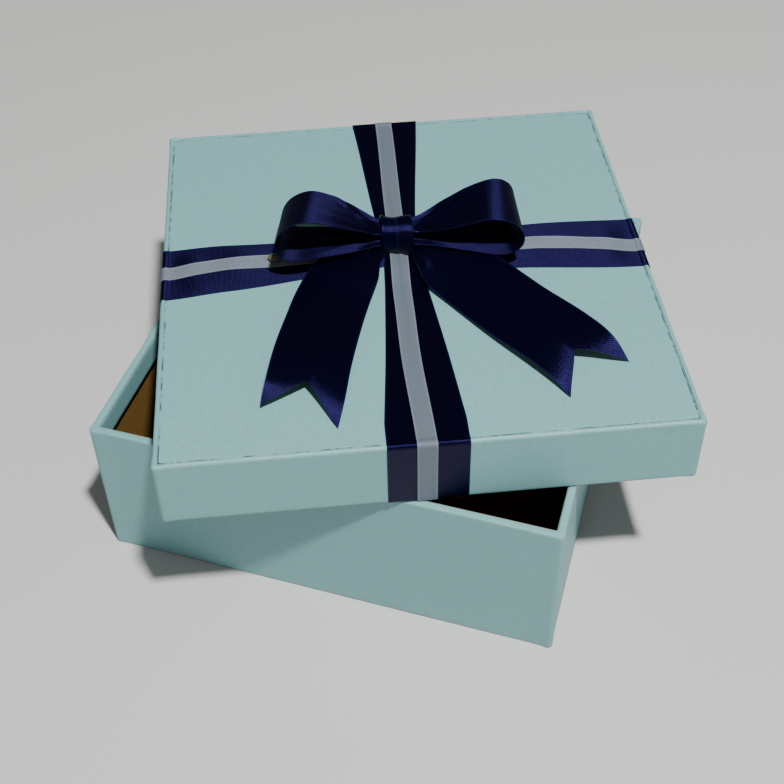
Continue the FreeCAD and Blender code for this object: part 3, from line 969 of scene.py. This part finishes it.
hot_glue, glue_tree = new_material("hot_glue")
glue_shader = glue_tree.nodes["Principled BSDF"]
cloudy = noisy(glue_tree, add(glue_tree, "ShaderNodeTexCoord").outputs["Object"], 900.0, 3.0).outputs["Fac"]
glue_tone = blended(glue_tree, cloudy, (0.10, 0.10, 0.072, 1), (0.21, 0.21, 0.16, 1))
glue_tree.links.new(glue_tone, glue_shader.inputs["Base Color"])
glue_tree.links.new(ranged(glue_tree, cloudy, 0.0, 1.0, 0.2, 0.4), glue_shader.inputs["Roughness"])
glue_shader.inputs["Transmission Weight"].default_value = 0.4


def glue_blob(name, node, body, seed, shift=(0, 0, 0)):
    """A flattened, uneven drop of glue in the place of a CAD node, shifted by some millimetres."""
    low, high = (corner + Vector(shift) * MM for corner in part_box(node))
    half = (high - low) / 2
    mesh_code = bmesh.new()
    bmesh.ops.create_icosphere(mesh_code, subdivisions=4, radius=1.0)
    for vertex in mesh_code.verts:
        spot = vertex.co.copy()
        swell = 0.93 + 0.06 * noise.noise(spot * 1.6 + Vector((seed, 0, 0)))
        flattened = math.copysign(abs(spot.z) ** 0.6, spot.z)
        vertex.co = (low + high) / 2 + Vector(
            (spot.x * half.x * swell, spot.y * half.y * swell, flattened * half.z * 0.98)
        )
    blob = new_piece(name, mesh_code, hot_glue, body)
    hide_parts(node)


glue_blob("hidden_glue", "glue_dot", "bow_glue", seed=1.0)
glue_blob("squeezed_glue", "glue_spot", "lid", seed=4.0, shift=(0.6, 0.2, 1.5))

# ----------------------------------------------------------------------------------------------------------
# Lights, floor and camera. A pale matt floor, a soft room that is brighter in front and on the right, and
# one small lamp high up in front on the right.

pale_floor, floor_tree = new_material("pale_floor")
floor_shader = floor_tree.nodes["Principled BSDF"]
floor_shader.inputs["Base Color"].default_value = (0.50, 0.515, 0.515, 1)
floor_shader.inputs["Roughness"].default_value = 0.9

floor_mesh = bpy.data.meshes.new("floor")
floor_code = bmesh.new()
bmesh.ops.create_grid(floor_code, x_segments=2, y_segments=2, size=3.0)
floor_code.to_mesh(floor_mesh)
floor_code.free()
floor_mesh.materials.append(pale_floor)
floor = bpy.data.objects.new("floor", floor_mesh)
bpy.context.scene.collection.objects.link(floor)

world = bpy.data.worlds.new("studio")
world.use_nodes = True
sky = world.node_tree
sky_way = add(sky, "ShaderNodeTexCoord").outputs["Generated"]
sky_parts = add(sky, "ShaderNodeSeparateXYZ", {"Vector": sky_way})
front_to_back = ranged(sky, sky_parts.outputs["Y"], -0.6, 0.6, 0.32, 0.07, interpolation_type="SMOOTHSTEP")
left_to_right = ranged(sky, sky_parts.outputs["X"], -0.6, 0.6, -0.06, 0.09, interpolation_type="SMOOTHSTEP")
sky_strength = maths(sky, "ADD", front_to_back, left_to_right)
sky.nodes["Background"].inputs["Color"].default_value = (1.0, 0.97, 0.93, 1)
sky.links.new(sky_strength, sky.nodes["Background"].inputs["Strength"])
bpy.context.scene.world = world


def lamp(name, direction, distance, width, power, color):
    """A round area light that looks at the box."""
    data = bpy.data.lights.new(name, "AREA")
    data.shape = "DISK"
    data.size = width
    data.energy = power
    data.color = color
    light = bpy.data.objects.new(name, data)
    toward = Vector(direction).normalized()
    light.location = toward * distance
    light.rotation_mode = "QUATERNION"
    light.rotation_quaternion = (-toward).to_track_quat("-Z", "Y")
    bpy.context.scene.collection.objects.link(light)


lamp(
    "key_light", direction=(0.269, -0.298, 0.916), distance=1.5, width=0.09, power=38.0,
    color=(1.0, 0.98, 0.95),
)

# The camera's place is given in the lid's own axes, from the floor under the lid's middle.
lid_floor_place = Matrix.Translation((lid_middle.x, lid_middle.y, 0)) @ Matrix.Rotation(lid_angle, 4, "Z")
camera_pitch = 0.7274
camera_yaw = 0.0822
camera_roll = -0.021
forward = Vector(
    (
        math.sin(camera_yaw) * math.cos(camera_pitch),
        math.cos(camera_yaw) * math.cos(camera_pitch),
        -math.sin(camera_pitch),
    )
)
level = Vector((math.cos(camera_yaw), -math.sin(camera_yaw), 0))
upward = level.cross(forward)
right = math.cos(camera_roll) * level + math.sin(camera_roll) * upward
upright = -math.sin(camera_roll) * level + math.cos(camera_roll) * upward
aim = Matrix((right, upright, -forward)).transposed().to_4x4()
camera_data = bpy.data.cameras.new("camera")
camera_data.lens = 58.7
camera_data.sensor_width = 36.0
camera_data.shift_y = -0.15
camera = bpy.data.objects.new("camera", camera_data)
camera.matrix_world = lid_floor_place @ Matrix.Translation((-0.0314, -0.3287, 0.3735)) @ aim
bpy.context.scene.collection.objects.link(camera)
bpy.context.scene.camera = camera
